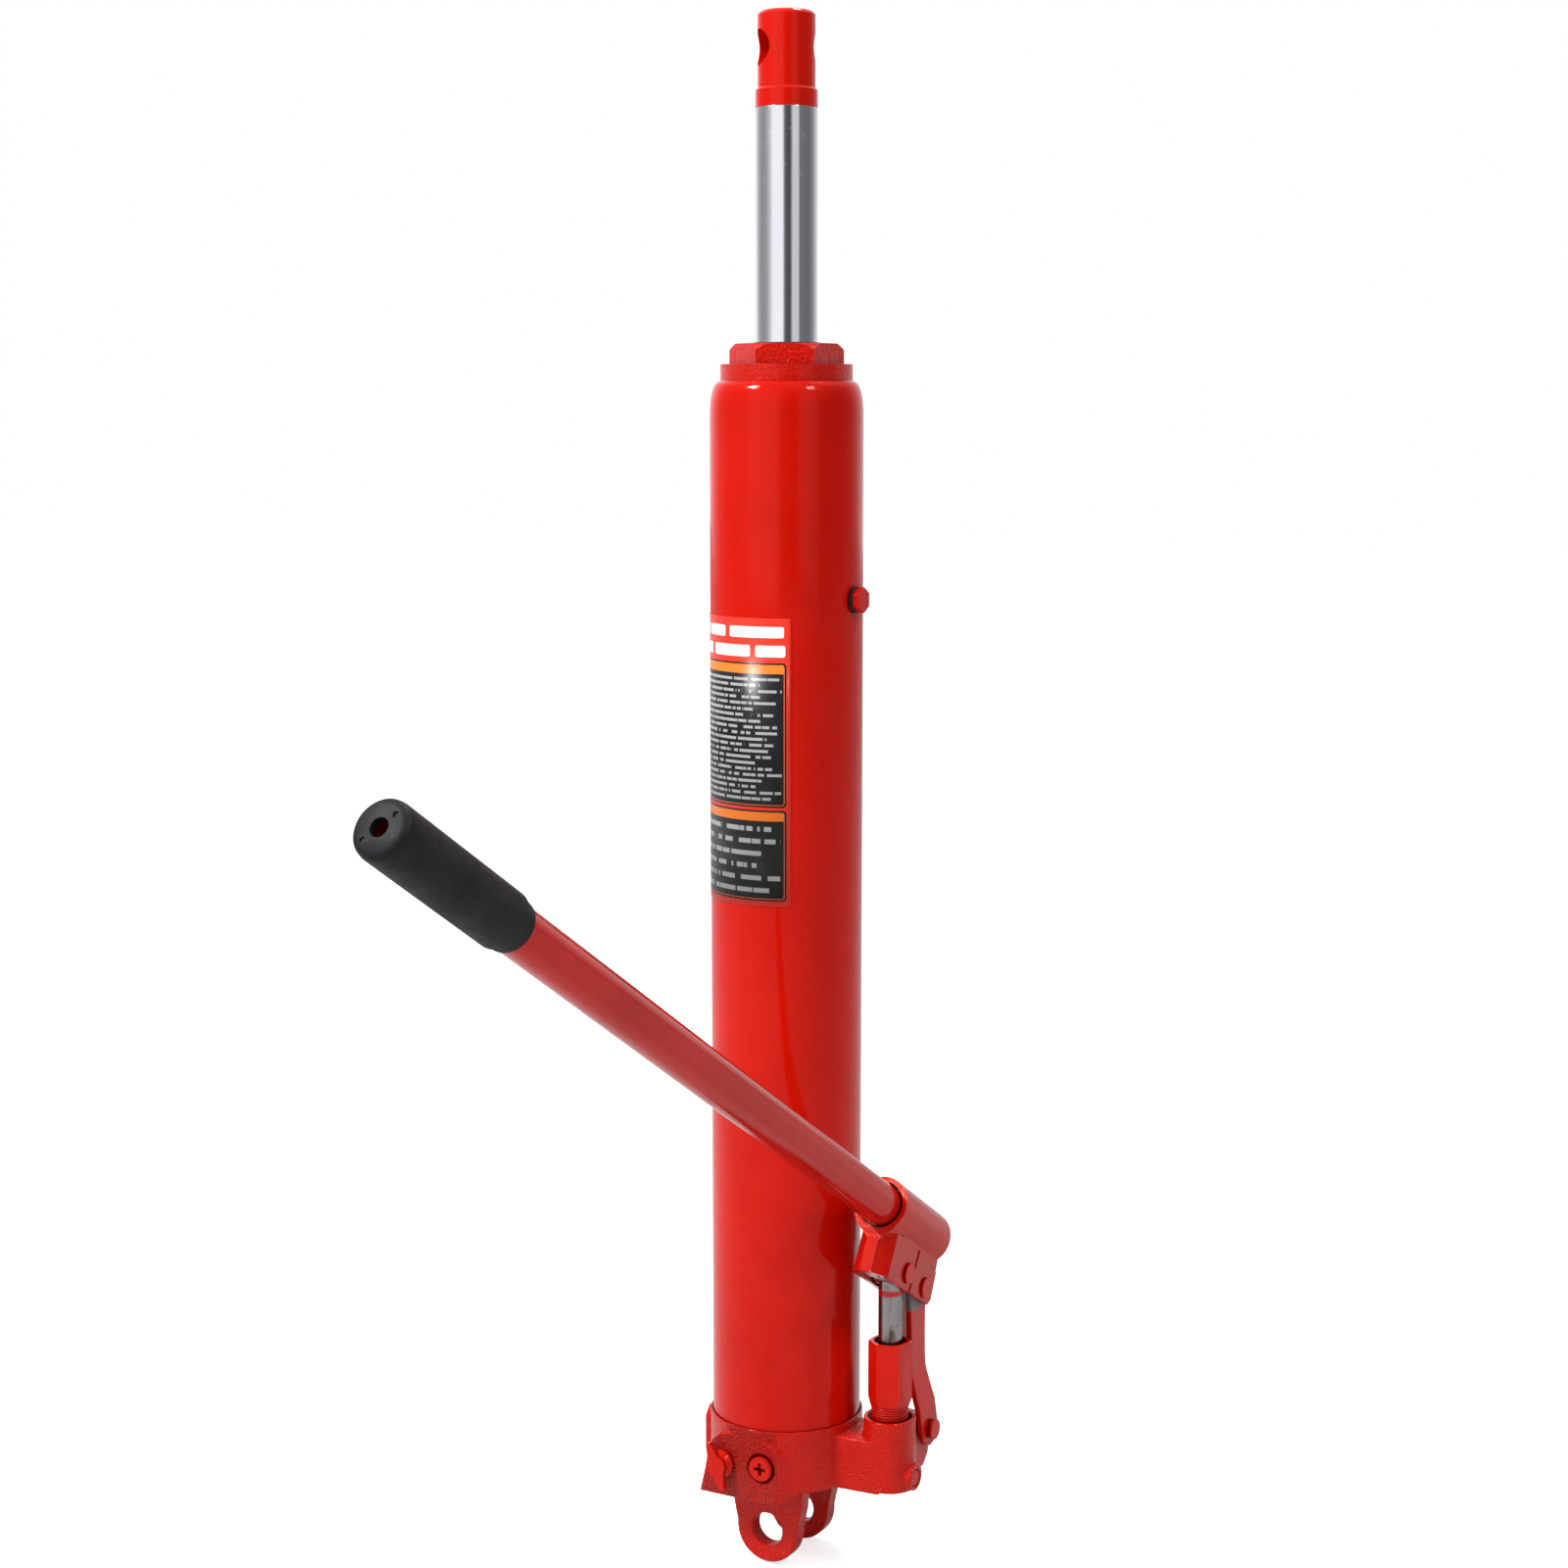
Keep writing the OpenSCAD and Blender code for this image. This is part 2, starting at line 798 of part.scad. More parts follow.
module outlet_spring() {
  color(steel)
    translate([28, 0, 32])
      rotate([0, 90, 0])
        coil(1.7, 0.3, 1.2, 3.8);
}

module passage_plug() {
  color(red)
    union() {
      xbar(0, 32, 4, pump_x + 8, pump_x + 13);
      translate([pump_x + 13, 0, 32])
        rotate([0, 90, 0])
          cylinder(h = 0.6, r1 = 4, r2 = 3.4);
    }
}

// ---------------------------------------------------------------- nodes

base_casting();
reservoir_tube();
pressure_cylinder();
top_nut();
rod_wiper();
rod_seal();
tank_seal_lower();
tank_seal_upper();
label();
filler_plug();
filler_seal();
ram_rod();
ram_eye();
ram_piston();
piston_cup();
piston_backup();
piston_washer();
piston_nut();
pump_cylinder();
pump_gasket();
plunger_wiper();
pump_plunger();
plunger_seal();
handle_socket();
piston_pin();
link_pin();
link_strap_outer();
link_strap_inner();
base_pin();
handle_tube();
handle_grip();
release_valve();
release_ball();
relief_plug();
relief_spring();
relief_ball();
suction_ball();
outlet_ball();
outlet_spring();
passage_plug();
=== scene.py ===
import json
import math

import bpy
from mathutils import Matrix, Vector

# Long-ram hydraulic jack on a white studio floor. Metres, +Z up, in the CAD's own frame: the origin is
# the middle of the base clevis pin hole, and the release valve and the handle face -Y.

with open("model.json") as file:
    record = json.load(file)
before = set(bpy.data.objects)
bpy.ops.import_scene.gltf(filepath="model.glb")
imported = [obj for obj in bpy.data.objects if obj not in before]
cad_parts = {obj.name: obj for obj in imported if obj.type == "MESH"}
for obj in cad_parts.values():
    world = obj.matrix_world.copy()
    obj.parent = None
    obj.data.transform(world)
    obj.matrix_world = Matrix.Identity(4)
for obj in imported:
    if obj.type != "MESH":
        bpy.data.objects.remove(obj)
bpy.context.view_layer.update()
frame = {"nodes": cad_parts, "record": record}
nodes = frame["nodes"]
scene = bpy.context.scene
scene.view_settings.view_transform = "Standard"


# ------------------------------------------------------------------ shader helpers

class Net:
    """Short hand for building one material's node tree."""

    def __init__(self, name):
        self.mat = bpy.data.materials.new(name)
        self.mat.use_nodes = True
        self.tree = self.mat.node_tree
        self.bsdf = self.tree.nodes["Principled BSDF"]
        self.obj = self.node("ShaderNodeTexCoord").outputs["Object"]

    def node(self, kind, **values):
        n = self.tree.nodes.new(kind)
        for k, v in values.items():
            setattr(n, k, v)
        return n

    def plug(self, value, socket):
        """Link a socket to another one, or set it to a constant."""
        if isinstance(value, bpy.types.NodeSocket):
            self.tree.links.new(value, socket)
        elif value is not None:
            socket.default_value = value

    def math(self, op, a, b=None, clamp=False):
        n = self.node("ShaderNodeMath", operation=op, use_clamp=clamp)
        for v, s in zip((a, b), n.inputs):
            self.plug(v, s)
        return n.outputs[0]

    def add(self, a, b, clamp=False):
        return self.math("ADD", a, b, clamp)

    def minus(self, a, b):
        return self.math("SUBTRACT", a, b)

    def times(self, first, *others):
        """Product of all the values."""
        for other in others:
            first = self.math("MULTIPLY", first, other)
        return first

    def mapped(self, scale):
        """Object coordinates stretched by scale, for streaks."""
        n = self.node("ShaderNodeMapping")
        self.plug(self.obj, n.inputs["Vector"])
        n.inputs["Scale"].default_value = scale
        return n.outputs[0]

    def noise(self, scale, detail=3.0, rough=0.5, vector=None, distort=0.0):
        n = self.node("ShaderNodeTexNoise")
        self.plug(vector or self.obj, n.inputs["Vector"])
        n.inputs["Scale"].default_value = scale
        n.inputs["Detail"].default_value = detail
        n.inputs["Roughness"].default_value = rough
        n.inputs["Distortion"].default_value = distort
        return n.outputs["Fac"]

    def cells(self, scale, feature="F1", smooth=0.0):
        n = self.node("ShaderNodeTexVoronoi", feature=feature)
        self.plug(self.obj, n.inputs["Vector"])
        n.inputs["Scale"].default_value = scale
        if feature == "SMOOTH_F1":
            n.inputs["Smoothness"].default_value = smooth
        return n.outputs["Distance"]

    def ramp(self, fac, stops):
        """Grey ramp through (position, brightness) stops."""
        n = self.node("ShaderNodeValToRGB")
        self.plug(fac, n.inputs[0])
        for e, (position, grey) in zip(n.color_ramp.elements, stops):
            e.position = position
            e.color = (grey, grey, grey, 1)
        return n.outputs[0]

    def span(self, value, lo, hi, a=0.0, b=1.0):
        """Clamped ramp: a at lo, b at hi."""
        n = self.node("ShaderNodeMapRange", clamp=True)
        for v, s in zip((value, lo, hi, a, b), n.inputs):
            self.plug(v, s)
        return n.outputs[0]

    def window(self, value, limits, soft):
        """1 between the limits, fading over soft inside them."""
        lo, hi = limits
        return self.times(self.span(value, lo, lo + soft), self.span(value, hi, hi - soft))

    def mix(self, fac, a, b, mode="MIX"):
        n = self.node("ShaderNodeMix", data_type="RGBA", blend_type=mode)
        self.plug(fac, n.inputs[0])
        for v, s in ((a, n.inputs[6]), (b, n.inputs[7])):
            self.plug((*v, 1) if isinstance(v, tuple) and len(v) == 3 else v, s)
        return n.outputs[2]

    def bump(self, height, distance, normal=None):
        n = self.node("ShaderNodeBump")
        n.inputs["Strength"].default_value = 1.0
        n.inputs["Distance"].default_value = distance
        self.plug(height, n.inputs["Height"])
        self.plug(normal, n.inputs["Normal"])
        return n.outputs[0]

    def axes(self, vector=None):
        n = self.node("ShaderNodeSeparateXYZ")
        self.plug(vector or self.obj, n.inputs[0])
        return n.outputs[:3]

    def ragged_height(self, scale, detail, rough, depth):
        """Height above the pin hole, made uneven by noise, for the edge of a coat of paint."""
        z = self.axes()[2]
        return self.add(z, self.times(self.minus(self.noise(scale, detail, rough), 0.5), depth))

    def finish(self, color=None, rough=None, normal=None, **fixed):
        """Wire up the surface; every other input is a constant."""
        self.plug(color, self.bsdf.inputs["Base Color"])
        self.plug(rough, self.bsdf.inputs["Roughness"])
        self.plug(normal, self.bsdf.inputs["Normal"])
        for k, v in fixed.items():
            self.bsdf.inputs[k.replace("_", " ")].default_value = v
        return self.mat


def scaled(color, factor, lift=0.0):
    return tuple(min(1, c * factor + lift) for c in color)


# ------------------------------------------------------------------ paint

RED = (0.57, 0.0060, 0.0012)
SOCKET_RED = (0.52, 0.0060, 0.0020)
HANDLE_RED = (0.50, 0.0068, 0.0030)
PRIMER = (0.16, 0.05, 0.035)
BARE_STEEL = (0.135, 0.130, 0.130)
# the reflections are tinted, so that only the lamps read as white on the enamel
RED_SHEEN = (1.0, 0.20, 0.14, 1.0)

BOSS_FACE = (-0.0335, -0.0350)   # the valve boss begins and ends along Y
SHADE_REACH = 0.0035                    # reach of the painted shade in corners


def worn_edges_and_crease_shade(g, geo, color, base, wear):
    """Chips down to the primer on sharp edges, and painted shade that darkens the paint in creases."""
    pointed = geo.outputs["Pointiness"]
    edge = g.span(pointed, 0.53, 0.60)
    chips = g.span(g.noise(420, 6, 0.75), 0.52, 0.68)
    color = g.mix(g.times(edge, chips, wear), color, PRIMER)
    # painted shade: the paint is darkened in concave creases, where shade falls
    crease_shade = g.span(pointed, 0.48, 0.42)
    return g.mix(g.times(crease_shade, 0.55), color, scaled(base, 0.35))


def thread_rings(g, normal, bottom, top, pitch):
    z = g.axes()[2]
    rings = g.math("SINE", g.times(z, 2 * math.pi / pitch))
    here = g.times(g.math("GREATER_THAN", z, bottom), g.math("LESS_THAN", z, top))
    return g.bump(g.times(rings, here), 0.00035, normal)


def cast_grain(g, geo, normal, depth):
    """Sand grain, strong on the flat valve face and faint elsewhere."""
    facing = g.span(g.axes(geo.outputs["Normal"])[1], -0.70, -0.93)
    front = g.span(g.axes()[1], *BOSS_FACE)
    mask = g.add(g.times(facing, front), 0.24, clamp=True)
    grains = g.add(g.times(g.cells(900, feature="SMOOTH_F1", smooth=0.6), -1.1), g.noise(1300, 3, 0.6))
    return g.bump(g.times(grains, mask), depth, normal)


def paint(name, base=RED, rough=(0.09, 0.17), lumps=0.0, pebble=0.0, wear=0.35, gloss=0.22, flow=0.0,
          thread=None, bare=None):
    """Red enamel: uneven tone, orange peel, specks of dust in the coat, and painted shade in corners and
    creases.

    lumps and flow are the depths of brush-size waves and of runs down the tube, pebble that of cast
    grain. thread is (bottom, top, pitch), and bare the two heights between which the paint is missing.
    """
    peel = 0.00004
    g = Net(name)
    tone = g.ramp(g.noise(14, 4, 0.6), [(0.3, 0.86), (0.7, 1.06)])
    color = g.mix(1.0, base, tone, "MULTIPLY")
    color = g.mix(g.span(g.noise(55, 5, 0.7), 0.45, 0.8, 0.0, 0.25), color, scaled(base, 0.92, 0.012))
    geo = g.node("ShaderNodeNewGeometry")
    # chips at the edges, and also painted shade in the creases
    if wear:
        color = worn_edges_and_crease_shade(g, geo, color, base, wear)
    # painted shade: ambient occlusion darkens the paint in corners and between parts
    ao = g.node("ShaderNodeAmbientOcclusion", samples=4)
    ao.inputs["Distance"].default_value = SHADE_REACH
    corner_shade = g.span(ao.outputs["AO"], 0.80, 0.25)
    color = g.mix(g.times(corner_shade, 0.88), color, scaled(base, 0.10))
    specks = g.times(g.span(g.cells(260), 0.10, 0.04), g.span(g.noise(30, 2), 0.55, 0.7))
    color = g.mix(g.times(specks, 0.3), color, scaled(base, 0.5))
    r = g.add(g.span(g.noise(38, 5, 0.65), 0.3, 0.7, *rough), g.times(specks, 0.2))

    normal = g.bump(g.noise(520, 3, 0.55), peel)
    normal = g.bump(g.noise(90, 2, 0.5), peel * 3.2, normal)
    if lumps:
        normal = g.bump(g.noise(210, 3, 0.6, distort=0.3), lumps, normal)
        normal = g.bump(g.noise(780, 3, 0.6), lumps * 0.9, normal)
    if flow:
        normal = g.bump(g.noise(55, 3, 0.5, vector=g.mapped((1, 1, 0.07))), flow, normal)
    if thread:
        normal = thread_rings(g, normal, *thread)
    if pebble:
        normal = cast_grain(g, geo, normal, pebble)
    if bare:
        worn = g.window(g.ragged_height(190, 4, 0.7, 0.006), bare, 0.0012)
        color = g.mix(worn, color, BARE_STEEL)
        r = g.add(r, g.times(worn, 0.25))
    return g.finish(color, r, normal, Specular_IOR_Level=gloss, IOR=1.5, Specular_Tint=RED_SHEEN,
                    Coat_Weight=0.2, Coat_Roughness=0.05)


# ------------------------------------------------------------------ metal and rubber

STAIN = (0.075, 0.045, 0.03)
RAM_SCUFFS = (0.600, 0.655)      # the top of the rod is scuffed between these heights


def chrome(name):
    """Hard chrome: faint lengthwise streaks, grinding rings and scuffs near the top."""
    g = Net(name)
    streak = g.noise(60, 4, 0.6, vector=g.mapped((26, 26, 0.35)))
    wipe = g.noise(22, 3, 0.55, vector=g.mapped((1, 1, 0.25)))
    color = g.mix(g.span(streak, 0.3, 0.7), (0.705, 0.69, 0.745), (0.80, 0.79, 0.83))
    scuffs = g.times(g.span(g.axes()[2], *RAM_SCUFFS), g.span(g.noise(160, 5, 0.7), 0.56, 0.66))
    color = g.mix(g.times(scuffs, 0.5), color, (0.88, 0.88, 0.88))
    r = g.add(g.span(wipe, 0.3, 0.75, 0.035, 0.09), g.times(scuffs, 0.25))
    normal = g.bump(g.noise(1, 2, 0.5, vector=g.mapped((90, 90, 5200))), 0.0000035)
    normal = g.bump(g.noise(70, 3, 0.5, vector=g.mapped((1, 1, 0.06))), 0.00008, normal)
    return g.finish(color, r, normal, Metallic=1.0)


def steel(name, base=(0.47, 0.455, 0.44), rough=(0.2, 0.38), stain=0.0, grain=(1, 1, 60), band=None):
    """Machined metal with turning lines and an oil film; band is the height of a stripe of red paint."""
    g = Net(name)
    lines = g.noise(70, 4, 0.6, vector=g.mapped(grain))
    color = g.mix(g.span(lines, 0.3, 0.7), scaled(base, 0.78), base)
    film = g.span(g.noise(120, 4, 0.65, vector=g.mapped((1, 1, 0.3))), 0.47, 0.62)
    color = g.mix(g.times(film, stain), color, STAIN)
    r = g.add(g.span(g.noise(80, 4, 0.6), 0.3, 0.7, *rough), g.times(film, 0.25 * stain))
    normal = g.bump(lines, 0.00001)
    metal = 1.0
    if band:
        stripe = g.window(g.ragged_height(260, 3, 0.6, 0.0016), band, 0.0003)
        color = g.mix(stripe, color, RED)
        metal = g.minus(1.0, stripe)
    g.plug(metal, g.bsdf.inputs["Metallic"])
    return g.finish(color, r, normal)


HANDLE_X, HANDLE_Z = 0.055, 0.1581          # where the handle's axis crosses the plane y = 0
HANDLE_COS, HANDLE_SIN = 0.85355, 0.52101   # its slope, rising towards -Y
GRIP_RIBS = (0.368, 0.436)                  # along the handle from that crossing
RIB_COUNT = 72.0


def grip_ribs(g, normal):
    """Fine ribs along the handle, in the handle's own frame."""
    x, y, z = g.axes()
    rise = g.minus(z, HANDLE_Z)
    up = g.add(g.times(y, HANDLE_SIN), g.times(rise, HANDLE_COS))
    along = g.add(g.times(y, -HANDLE_COS), g.times(rise, HANDLE_SIN))
    turn = g.math("ARCTAN2", up, g.minus(x, HANDLE_X))
    wave = g.math("SINE", g.times(turn, RIB_COUNT))
    return g.bump(g.times(wave, g.window(along, GRIP_RIBS, 0.002)), 0.00012, normal)


def rubber(name, base=(0.0070, 0.0070, 0.0098), grain=0.00007, ribs=False):
    """Matt rubber or plastic: dust, a few pale flecks and a fine grain."""
    g = Net(name)
    dust = g.span(g.noise(34, 5, 0.7), 0.42, 0.78)
    color = g.mix(g.times(dust, 0.4), base, scaled(base, 1.6, 0.004))
    flecks = g.span(g.cells(170), 0.055, 0.035)
    color = g.mix(g.times(flecks, 0.35), color, (0.16, 0.14, 0.11))
    r = g.span(g.noise(60, 4, 0.6), 0.3, 0.7, 0.45, 0.65)
    normal = g.bump(g.noise(1150, 4, 0.6), grain)
    normal = g.bump(g.noise(75, 2, 0.5), grain * 1.5, normal)
    if ribs:
        normal = grip_ribs(g, normal)
    return g.finish(color, r, normal, Specular_IOR_Level=0.2)


# ------------------------------------------------------------------ label

# The label is laid out in mm: u runs round the tube from the front (-Y), v up from the pin hole.
LABEL_R = 35.1
PANEL_LEFT, PANEL_RIGHT = -53.6, 17.5
UPPER_PANEL, LOWER_PANEL = (348.1, 413.4), (305.3, 346.8)
HEADING_ROWS = {
    (424.6, 429.6): ((-48, -31), (-28.5, -14), (-11, 16.4)),
    (416.0, 421.2): ((-50, -26), (-23, 0.5), (3.2, 17.0)),
}
BAR_WHITE = (0.84, 0.80, 0.78)
PANEL_BLACK = (0.009, 0.009, 0.010)
LINE_ORANGE = (0.62, 0.13, 0.02)
HEADER_ORANGE = (0.80, 0.19, 0.018)
EDGE = 0.06                      # half the softness of a printed edge


class LabelPrint:
    """Plain printed shapes on the label: rounded boxes, panels and rows of broken bars."""

    def __init__(self, g):
        self.g = g
        x, y, z = g.axes()
        self.u = g.times(g.math("ARCTAN2", x, g.times(y, -1.0)), LABEL_R)
        self.v = g.times(z, 1000.0)

    def box(self, u0, u1, v0, v1, r):
        """1 inside a box with corners of radius r."""
        g = self.g

        def past(value, lo, hi):
            off = g.math("ABSOLUTE", g.minus(value, (lo + hi) / 2))
            return g.math("MAXIMUM", g.minus(off, (hi - lo) / 2 - r), 0.0)

        du, dv = past(self.u, u0, u1), past(self.v, v0, v1)
        d = g.math("SQRT", g.add(g.times(du, du), g.times(dv, dv)))
        return g.span(d, r + EDGE, r - EDGE)

    def rows(self, v0, v1, pitch, height, u_left, u_right, word):
        """Broken bars, one line of them per row, with uneven right ends."""
        g = self.g
        t = g.math("DIVIDE", g.minus(self.v, v0), pitch)
        row = g.math("FLOOR", t)
        half = height / pitch / 2
        fill = g.span(g.math("ABSOLUTE", g.minus(g.math("FRACT", t), 0.5)), half + 0.03, half - 0.03)
        chance = g.node("ShaderNodeTexWhiteNoise", noise_dimensions="1D")
        g.plug(row, chance.inputs["W"])
        cut = g.times(g.math("POWER", chance.outputs["Value"], 2.0), (u_right - u_left) * 0.22)
        right_end = g.minus(u_right, cut)
        inside = g.times(g.math("LESS_THAN", self.u, right_end), g.math("GREATER_THAN", self.u, u_left))
        band = g.times(g.math("GREATER_THAN", self.v, v0), g.math("LESS_THAN", self.v, v1))
        spot = g.node("ShaderNodeCombineXYZ")
        g.plug(g.times(self.u, 1 / word), spot.inputs[0])
        g.plug(g.times(row, 7.31), spot.inputs[1])
        gaps = g.span(g.noise(1.0, 1, 0.5, vector=spot.outputs[0]), 0.40, 0.43)
        return g.times(fill, inside, band, gaps)

    def panel(self, color, v0, v1):
        """Black rounded panel with a thin orange line just inside it and an orange header bar."""
        g = self.g

        def inset(by, r):
            return self.box(PANEL_LEFT + by, PANEL_RIGHT - by, v0 + by, v1 - by, r)

        color = g.mix(inset(0.0, 1.8), color, PANEL_BLACK)
        color = g.mix(g.minus(inset(0.8, 1.4), inset(1.2, 1.1)), color, LINE_ORANGE)
        header = self.box(PANEL_LEFT + 1.0, PANEL_RIGHT - 1.0, v1 - 4.9, v1 - 1.0, 0.6)
        return g.mix(header, color, HEADER_ORANGE)


def print_label(name):
    """Orange-red vinyl wrapped on the tube: two lines of light bars above two dark panels of rows."""
    g = Net(name)
    ink = LabelPrint(g)
    color = g.mix(g.span(g.noise(26, 4, 0.6), 0.3, 0.7), (0.70, 0.028, 0.012), (0.76, 0.036, 0.016))
    for (v0, v1), bars in HEADING_ROWS.items():
        for u0, u1 in bars:
            color = g.mix(ink.box(u0, u1, v0, v1, 1.0), color, BAR_WHITE)
    color = ink.panel(color, *UPPER_PANEL)
    color = g.mix(ink.rows(350.6, 407.4, 2.7, 1.25, -51.3, 15.4, 2.6), color, (0.34, 0.34, 0.35))
    color = ink.panel(color, *LOWER_PANEL)
    color = g.mix(ink.rows(307.4, 341.0, 5.6, 2.1, -51.0, 15.0, 4.5), color, (0.42, 0.42, 0.43))
    scuff = g.span(g.noise(90, 6, 0.75), 0.56, 0.75)
    color = g.mix(g.times(scuff, 0.06), color, (0.4, 0.30, 0.28))
    r = g.span(g.noise(50, 4, 0.6), 0.3, 0.7, 0.20, 0.32)
    return g.finish(color, r, g.bump(g.noise(60, 3, 0.5), 0.00008), Specular_IOR_Level=0.22)


# ------------------------------------------------------------------ materials by slot

mats = {
    "cast_paint": paint("cast_paint", lumps=0.00034, pebble=0.0022, rough=(0.10, 0.18), wear=0.5,
                        gloss=0.42),
    "red_enamel": paint("red_enamel", wear=0, flow=0.00010, gloss=0.26),
    "nut_paint": paint("nut_paint", lumps=0.0009, rough=(0.10, 0.2), wear=0.5, gloss=0.4),
    "socket_paint": paint("socket_paint", SOCKET_RED, lumps=0.00006, rough=(0.08, 0.16), wear=0.6,
                          gloss=0.45),
    "link_paint": paint("link_paint", lumps=0.00006, rough=(0.12, 0.2), wear=0.6, gloss=0.35,
                        bare=(0.1075, 0.13)),
    "handle_paint": paint("handle_paint", HANDLE_RED, lumps=0.00003, rough=(0.08, 0.16), wear=0),
    "eye_paint": paint("eye_paint", rough=(0.07, 0.13), wear=0.3, gloss=0.4),
    "fastener_paint": paint("fastener_paint", lumps=0.00004, wear=0.6, gloss=0.4),
    "ram_chrome": chrome("ram_chrome"),
    "plunger_steel": steel("plunger_steel", (0.33, 0.305, 0.31), rough=(0.12, 0.28), stain=0.9,
                           band=(0.1188, 0.1218)),
    "cylinder_steel": steel("cylinder_steel"),
    "black_rubber": rubber("black_rubber", (0.02, 0.02, 0.02)),
    "grip_rubber": rubber("grip_rubber", ribs=True),
    "backup_plastic": rubber("backup_plastic", (0.68, 0.66, 0.58), grain=0.00003),
    "copper_washer": steel("copper_washer", (0.80, 0.42, 0.24), grain=(1, 1, 1)),
    "label_vinyl": print_label("label_vinyl"),
}
pump_paint = paint("red_enamel_pump", lumps=0.00005, thread=(0.0600, 0.0664, 0.00125), gloss=0.4, wear=0.6)

slot_of = {s["node"]: s["material_slot"] for s in frame["record"]["subparts"]}


# ------------------------------------------------------------------ pieces

PLAIN_EDGE = 0.0003
# width of the rounded edges where it isn't the plain one
EDGE_WIDTH = {
    "top_nut": 0.0007, "pump_cylinder": 0.0005, "handle_socket": 0.0010, "link_strap_outer": 0.0007,
    "link_strap_inner": 0.0007, "base_pin": 0.0007, "piston_pin": 0.0005, "link_pin": 0.0005,
    "filler_plug": 0.0004, "release_valve": 0.0006, "relief_plug": 0.0004, "passage_plug": 0.0004,
    "handle_grip": 0.0009, "ram_rod": 0.0002, "reservoir_tube": 0.0002, "label": 0.0,
    "relief_spring": 0.0, "outlet_spring": 0.0,
}
WELD = 0.000002


def prepare(piece, material):
    """Give the CAD node its material and join its faces; the mesh itself stays as it is."""
    mesh = piece.data
    if "custom_normal" in mesh.attributes:
        mesh.attributes.remove(mesh.attributes["custom_normal"])
    mesh.materials.clear()
    mesh.materials.append(material)
    piece.modifiers.new("weld", "WELD").merge_threshold = WELD


def machined(piece, width):
    """Flat faces without the inner edges of the mesh, and rounded corners."""
    piece.data.shade_smooth()
    flat = piece.modifiers.new("flat", "DECIMATE")
    flat.decimate_type = "DISSOLVE"
    flat.angle_limit = math.radians(0.4)
    if width:
        edge = piece.modifiers.new("edge", "BEVEL")
        edge.width = width
        edge.segments = 2
        edge.limit_method = "ANGLE"
        edge.angle_limit = math.radians(28)
        edge.harden_normals = True
        edge.miter_outer = "MITER_ARC"
        edge.use_clamp_overlap = True


def cast_skin(piece):
    """Voxel remesh and smoothing, which give the casting its fillets."""
    skin = piece.modifiers.new("skin", "REMESH")
    skin.mode = "VOXEL"
    skin.voxel_size = 0.00055
    skin.use_smooth_shade = True
    fillet = piece.modifiers.new("fillet", "SMOOTH")
    fillet.factor = 0.5
    fillet.iterations = 6


for name, piece in nodes.items():
    prepare(piece, pump_paint if name == "pump_cylinder" else mats[slot_of[name]])
    if name == "base_casting":
        cast_skin(piece)
    else:
        machined(piece, EDGE_WIDTH.get(name, PLAIN_EDGE))


# ------------------------------------------------------------------ floor and camera

FLOOR_Z, FLOOR_HALF = -0.0172, 9

floor_mesh = bpy.data.meshes.new("floor")
corners = [(x * FLOOR_HALF, y * FLOOR_HALF, FLOOR_Z) for x, y in ((-1, -1), (1, -1), (1, 1), (-1, 1))]
floor_mesh.from_pydata(corners, [], [(0, 1, 2, 3)])
floor = bpy.data.objects.new("floor", floor_mesh)
scene.collection.objects.link(floor)
g = Net("floor_paper")
paper = g.mix(g.span(g.noise(3, 3), 0.3, 0.7), (0.50, 0.50, 0.50), (0.54, 0.54, 0.54))
# the paper glows only towards the camera, so that it stays white without lighting the jack from below
g.plug(g.times(g.node("ShaderNodeLightPath").outputs["Is Camera Ray"], 0.72),
       g.bsdf.inputs["Emission Strength"])
floor_mesh.materials.append(g.finish(paper, 0.85, Emission_Color=(1, 1, 1, 1)))

CAMERA_AT = (0.6000, -1.0941, 0.5282)
CAMERA_AZIMUTH = 28.74           # degrees to the right of -Y
CAMERA_DOWN = 7.94               # degrees below the horizon

cam_data = bpy.data.cameras.new("camera")
cam = bpy.data.objects.new("camera", cam_data)
scene.collection.objects.link(cam)
cam.location = CAMERA_AT
cam.rotation_euler = (math.radians(90 - CAMERA_DOWN), 0, math.radians(CAMERA_AZIMUTH))
cam_data.lens = 62.61
cam_data.sensor_width = 36
cam_data.shift_x = -0.0017
cam_data.clip_end = 60
scene.camera = cam


# ------------------------------------------------------------------ light

LIGHT_AIM = Vector((0, 0, 0.34))


def softbox(name, turn, height, distance, size, power):
    """Square area light, turn degrees to the right of the camera as seen from the jack."""
    a = math.radians(CAMERA_AZIMUTH + turn)
    data = bpy.data.lights.new(name, "AREA")
    data.shape = "RECTANGLE"
    data.size, data.size_y = size, size
    data.energy = power
    o = bpy.data.objects.new(name, data)
    scene.collection.objects.link(o)
    o.location = (math.sin(a) * distance, -math.cos(a) * distance, height)
    o.rotation_euler = (LIGHT_AIM - o.location).to_track_quat("-Z", "Y").to_euler()


softbox("key", -64, 2.15, 1.75, 0.55, 66)
softbox("fill", 43, 2.05, 1.75, 0.40, 14)
softbox("top", 150, 2.5, 1.0, 0.4, 20)

# brightness of the studio walls by azimuth, in degrees to the right of the camera
WALLS = [(-180, 1.0), (-142, 0.9), (-122, 0.45), (-100, 0.34), (-80, 0.42), (-62, 0.75), (-54, 1.15),
         (-16, 1.15), (-8, 0.22), (0, 0.10), (14, 0.10), (23, 0.75), (43, 0.75), (50, 0.20),
         (90, 0.17), (112, 0.30), (140, 0.75), (180, 1.0)]
CEILING_GREY = 0.6
CEILING_BLEND = (0.35, 0.75)     # the walls fade into the ceiling over these heights of a direction


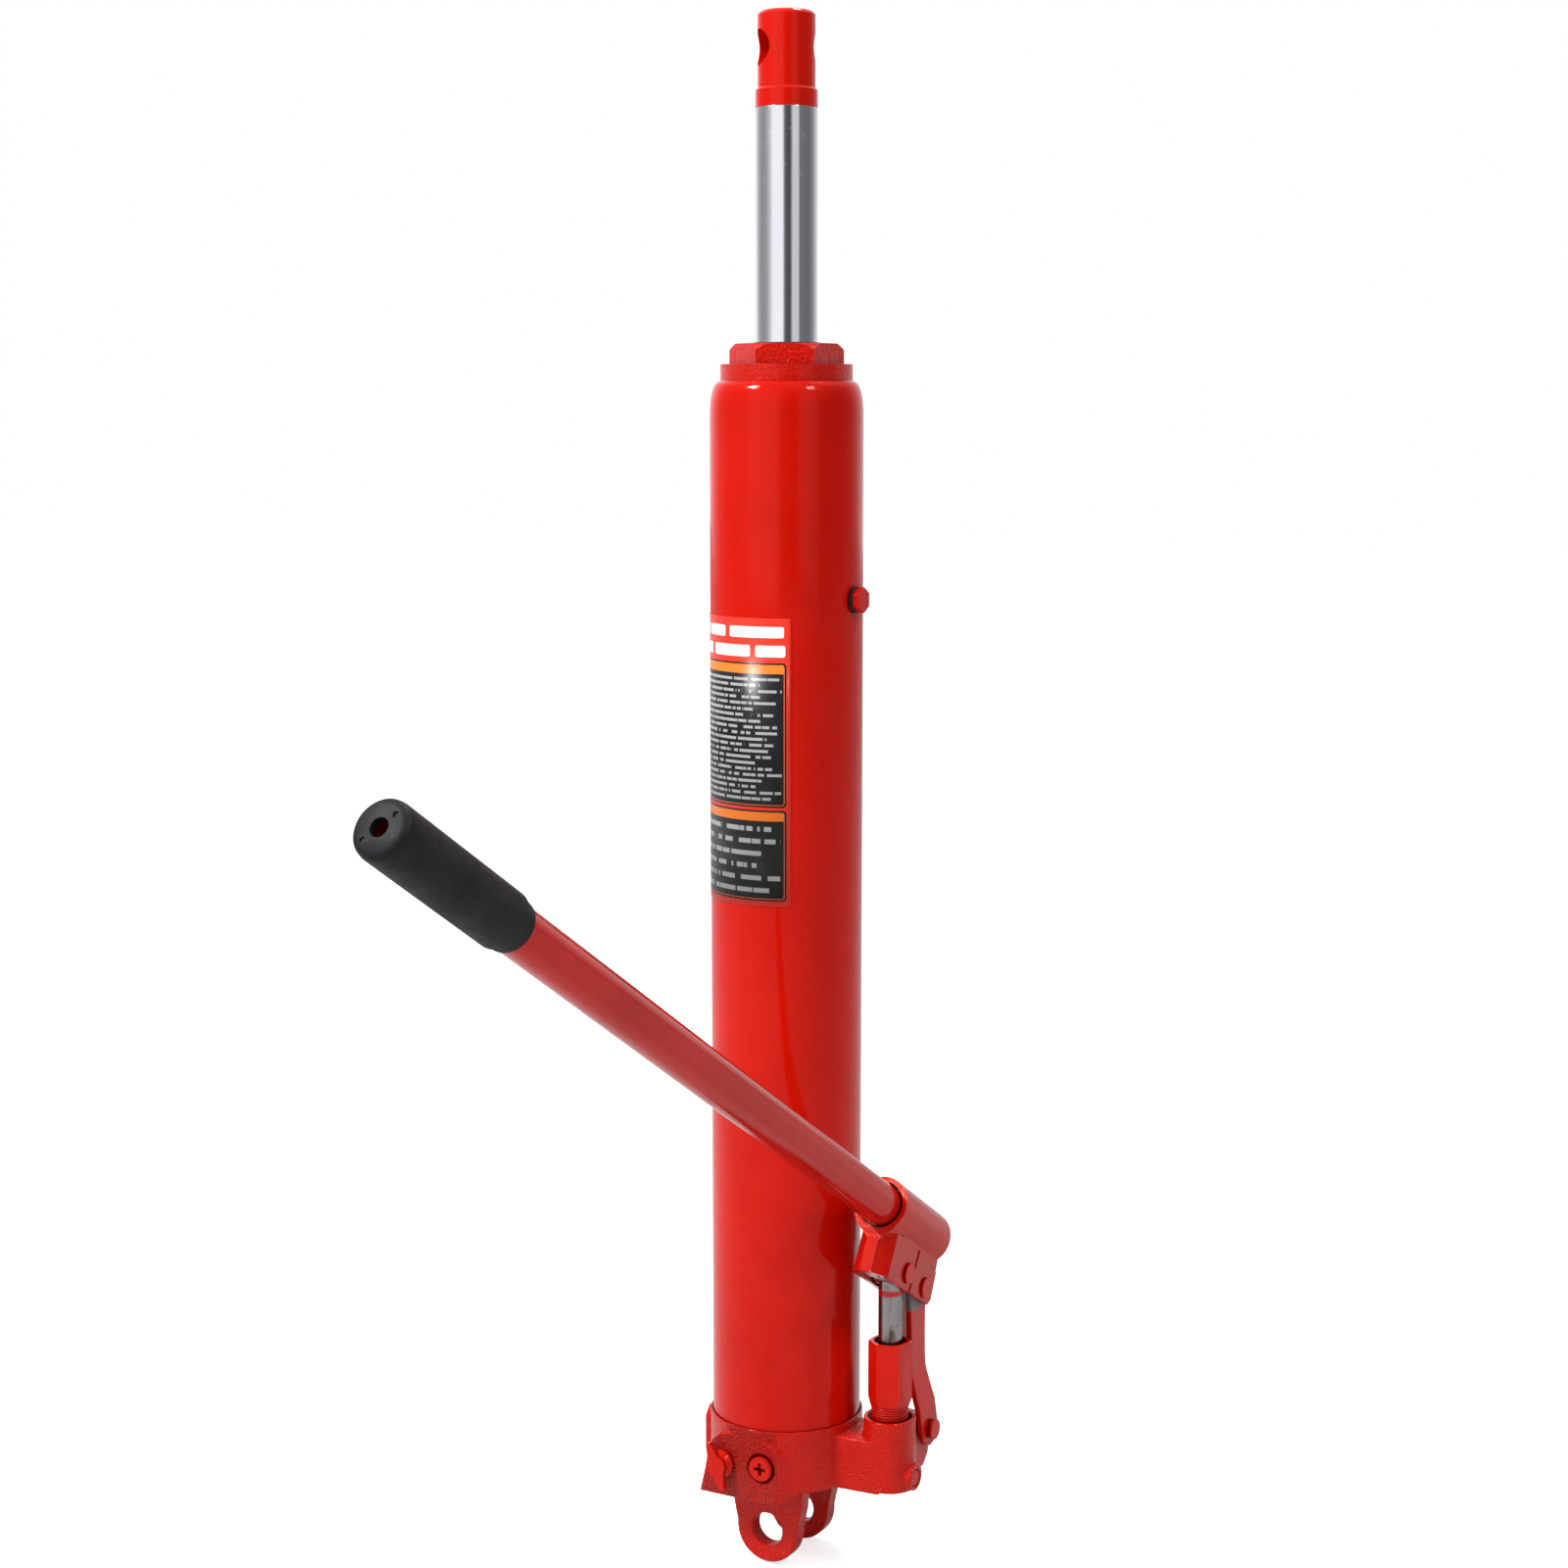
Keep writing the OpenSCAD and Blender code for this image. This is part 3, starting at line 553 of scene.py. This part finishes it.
def studio_world():
    """Walls and ceiling that the metal reflects; the camera itself sees plain white."""
    world = bpy.data.worlds.new("studio")
    scene.world = world
    world.use_nodes = True
    tree = world.node_tree

    def node(kind, *inputs, **values):
        n = tree.nodes.new(kind)
        for k, v in values.items():
            setattr(n, k, v)
        for v, s in zip(inputs, n.inputs):
            if isinstance(v, bpy.types.NodeSocket):
                tree.links.new(v, s)
            else:
                s.default_value = v
        return n

    def calc(op, a, b):
        return node("ShaderNodeMath", a, b, operation=op).outputs[0]

    direction = node("ShaderNodeTexCoord").outputs["Generated"]
    x, y, z = node("ShaderNodeSeparateXYZ", direction).outputs[:3]
    a = math.radians(CAMERA_AZIMUTH)
    ahead = calc("ADD", calc("MULTIPLY", x, math.sin(a)), calc("MULTIPLY", y, -math.cos(a)))
    right = calc("ADD", calc("MULTIPLY", x, math.cos(a)), calc("MULTIPLY", y, math.sin(a)))
    turn = calc("ADD", calc("DIVIDE", calc("ARCTAN2", right, ahead), 2 * math.pi), 0.5)
    walls = node("ShaderNodeValToRGB", turn)
    stops = walls.color_ramp.elements
    while len(stops) < len(WALLS):
        stops.new(0.5)
    for stop, (azimuth, grey) in zip(stops, WALLS):
        stop.position = azimuth / 360 + 0.5
        stop.color = (grey, grey, grey * 1.01, 1)

    height = node("ShaderNodeMapRange", z, *CEILING_BLEND)
    lid = node("ShaderNodeMix", data_type="RGBA")
    tree.links.new(height.outputs[0], lid.inputs[0])
    tree.links.new(walls.outputs[0], lid.inputs[6])
    lid.inputs[7].default_value = (CEILING_GREY, CEILING_GREY, CEILING_GREY, 1)
    lit = tree.nodes["Background"]
    tree.links.new(lid.outputs[2], lit.inputs["Color"])
    lit.inputs["Strength"].default_value = 1.0
    white = node("ShaderNodeBackground", (1, 1, 1, 1))
    seen = node("ShaderNodeLightPath").outputs["Is Camera Ray"]
    blend = node("ShaderNodeMixShader", seen, lit.outputs[0], white.outputs[0])
    tree.links.new(blend.outputs[0], tree.nodes["World Output"].inputs["Surface"])


studio_world()
